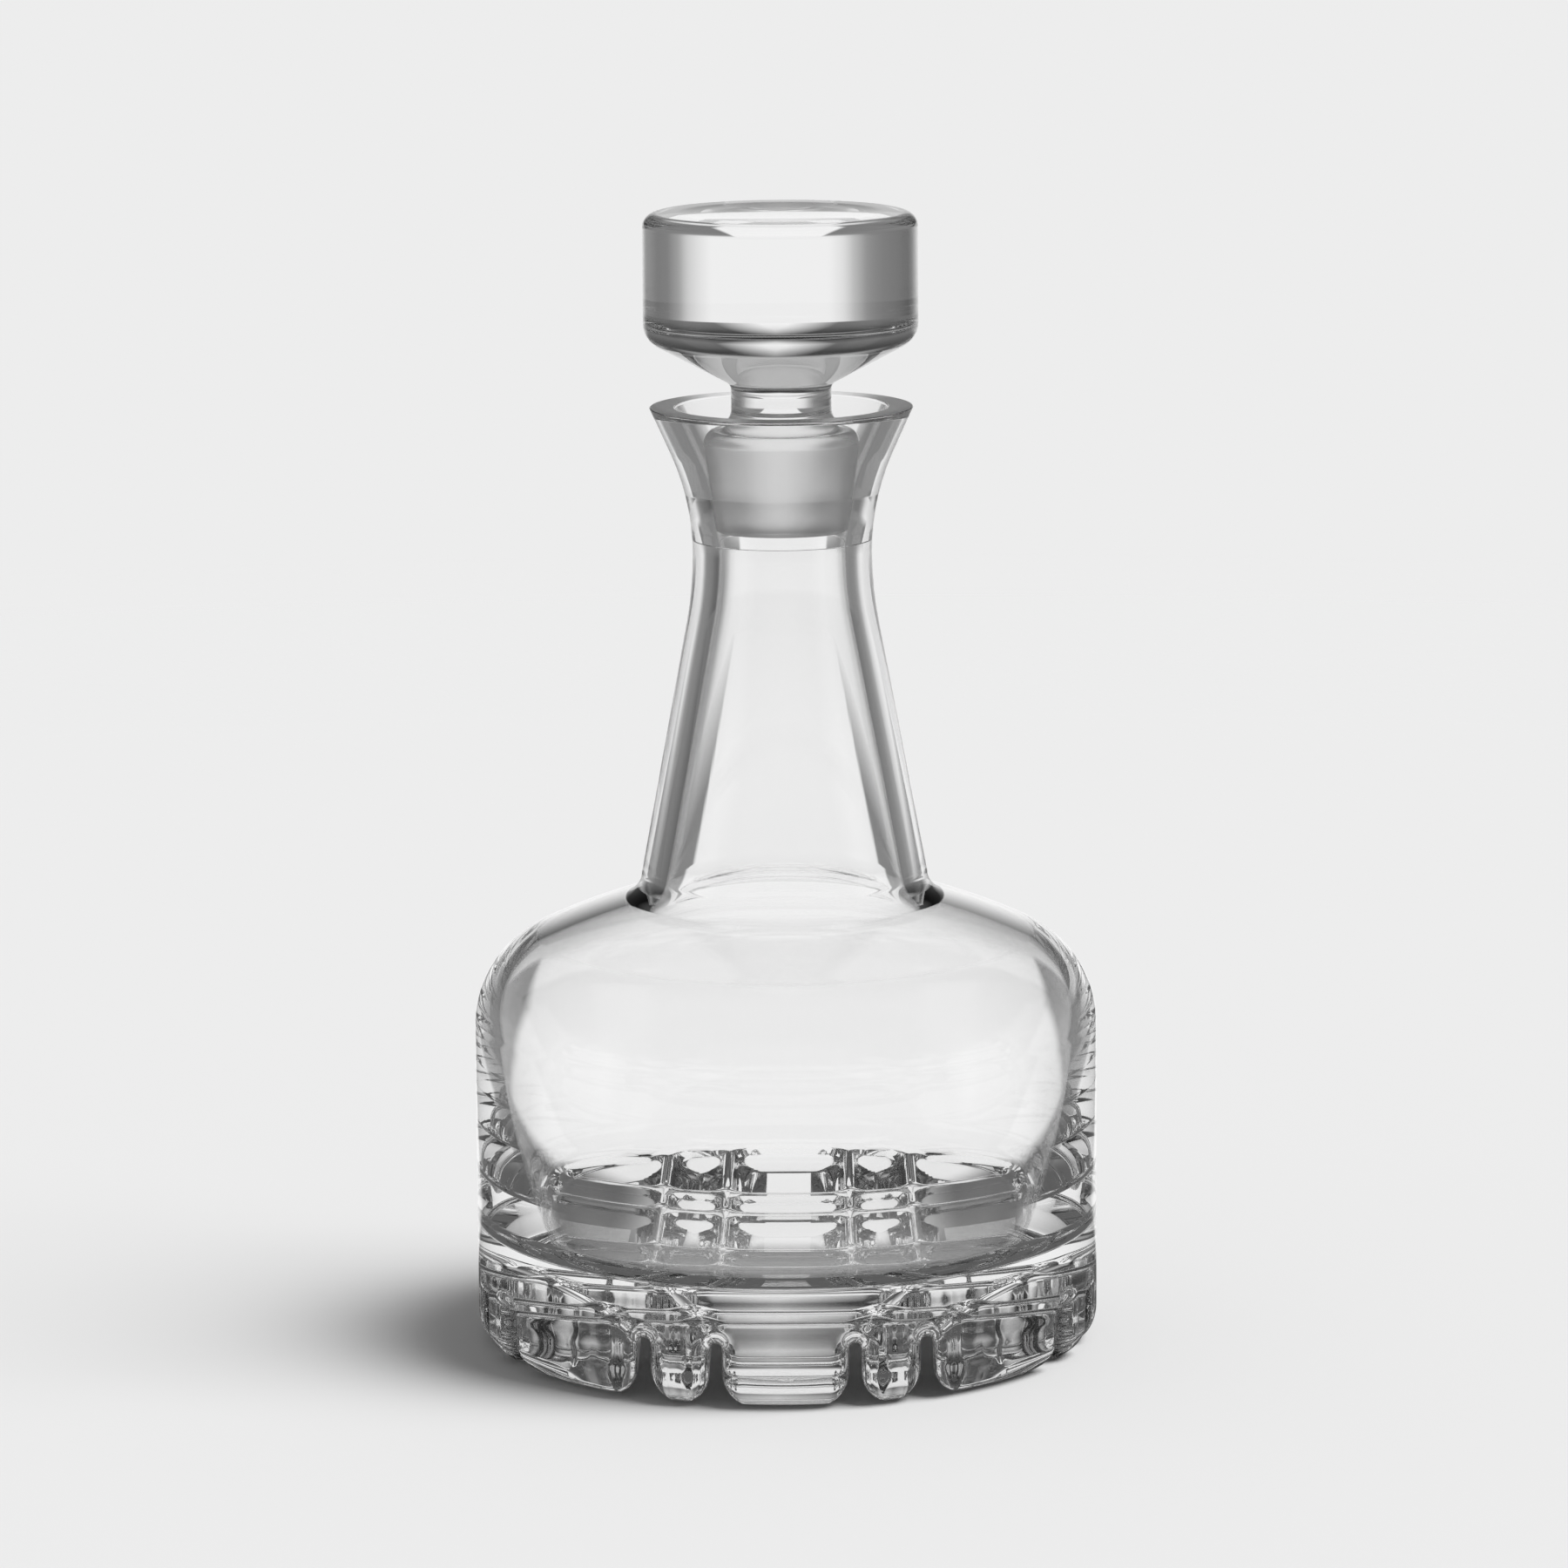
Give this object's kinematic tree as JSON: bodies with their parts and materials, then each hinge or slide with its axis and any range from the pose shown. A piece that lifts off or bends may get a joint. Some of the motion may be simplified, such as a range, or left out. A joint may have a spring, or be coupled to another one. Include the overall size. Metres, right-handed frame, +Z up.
{
  "type": "glass decanter",
  "caption": "Round-shouldered clear glass decanter with a thick grid-cut foot, a tall flared neck and a solid drum-shaped ground stopper.",
  "frame": {"origin": "middle of the footprint, on the plane that the foot stands on", "axes": "+Z up along the decanter's axis; the grooves of the foot run along X and along Y"},
  "size_m": [0.13, 0.13, 0.2373],
  "materials": {
    "vessel_glass": "polished",
    "stopper_glass": "polished, with a ground satin plug"
  },
  "bodies": {
    "vessel": {"vessel": "vessel_glass"},
    "stopper": {"stopper": "stopper_glass"}
  },
  "joints": [
    {"name": "stopper_lift", "type": "slide", "parent": "vessel", "child": "stopper", "axis": [0, 0, 1], "range_m": [0, 0.06]}
  ]
}
